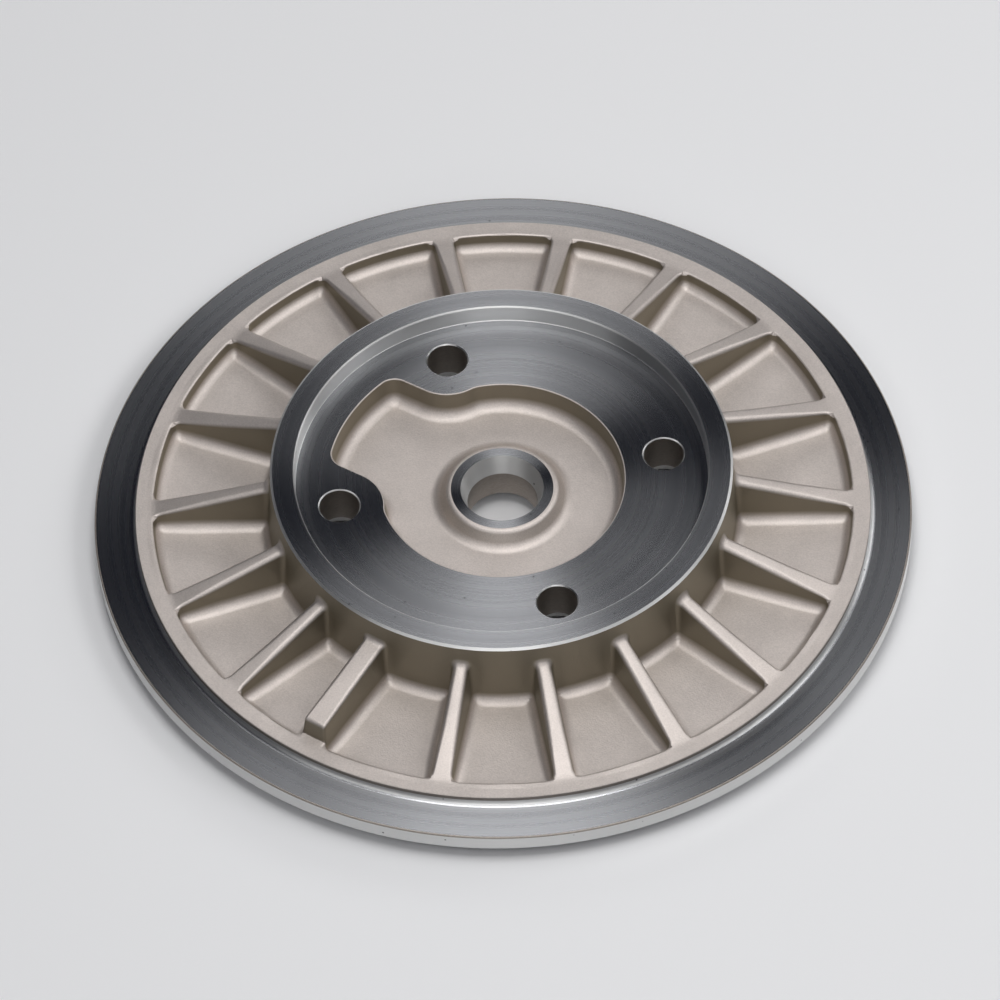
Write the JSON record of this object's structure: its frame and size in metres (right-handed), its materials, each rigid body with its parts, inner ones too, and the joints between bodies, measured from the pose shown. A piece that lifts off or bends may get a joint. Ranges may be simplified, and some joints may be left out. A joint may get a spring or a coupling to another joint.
{
  "type": "turbo seal plate",
  "caption": "Round cast seal plate with a thin turned flange, radial cooling ribs, a hub with a bearing-housing recess, a lobed oil pocket and a shaft bore.",
  "frame": {"origin": "middle of the compressor-side face, on the shaft axis, in the plane that the plate rests on", "axes": "+Z along the shaft bore towards the bearing housing; the drain lobe of the oil pocket points to -X and the wide rib points close to -Y"},
  "size_m": [0.182, 0.182, 0.0224],
  "materials": {
    "seal_plate": "blasted casting with turned faces"
  },
  "bodies": {
    "root": {"seal_plate": "seal_plate"}
  },
  "joints": []
}
